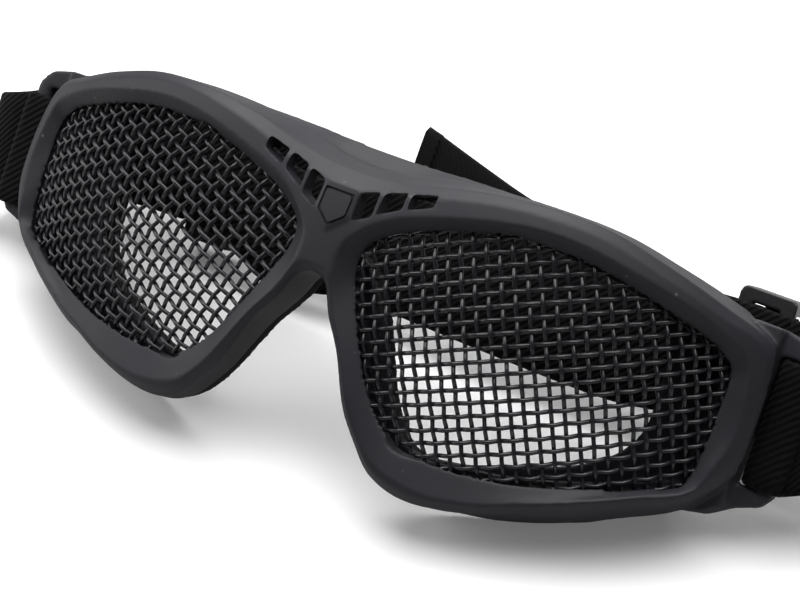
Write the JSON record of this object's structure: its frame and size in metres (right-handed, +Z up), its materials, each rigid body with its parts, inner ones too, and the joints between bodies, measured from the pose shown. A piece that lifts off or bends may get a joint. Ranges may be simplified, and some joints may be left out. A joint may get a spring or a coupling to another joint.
{
  "type": "mesh safety goggles",
  "caption": "Low-profile safety goggles with woven steel mesh lenses in a moulded wraparound frame, face foam and an elastic head strap with slide buckles.",
  "frame": {"origin": "centre of the bounding box at the floor", "axes": "+X to the wearer's left, +Y from the lenses towards the head, +Z up, with the goggles leaning back on their lower edge and strap as pictured"},
  "size_m": [0.2072, 0.0862, 0.0595],
  "materials": {
    "frame_plastic": "matte black moulded rubbery plastic",
    "wire_mesh": "black coated steel wire",
    "foam": "closed-cell foam",
    "webbing": "ribbed elastic webbing",
    "slider_plastic": "semi-gloss black"
  },
  "bodies": {
    "goggles": {"frame": "frame_plastic", "mesh_lens_right": "wire_mesh", "mesh_lens_left": "wire_mesh", "face_foam": "foam", "strap_loop_right": "webbing", "strap_loop_left": "webbing"},
    "strap": {"strap_back": "webbing", "strap_tail_right": "webbing", "strap_tail_left": "webbing"},
    "slider_right": {"slider_right": "slider_plastic"},
    "slider_left": {"slider_left": "slider_plastic"}
  },
  "joints": [
    {"name": "strap_stretch", "type": "slide", "parent": "goggles", "child": "strap", "axis": [0, 1, 0], "range_m": [0, 0.09], "stiffness_N_per_m": 60, "deforming": ["strap_loop_right", "strap_loop_left"]},
    {"name": "slider_right_slide", "type": "slide", "parent": "strap", "child": "slider_right", "axis": [-1, 0, 0], "range_m": [0, 0.045]},
    {"name": "slider_left_slide", "type": "slide", "parent": "strap", "child": "slider_left", "axis": [1, 0, 0], "range_m": [0, 0.016]}
  ]
}
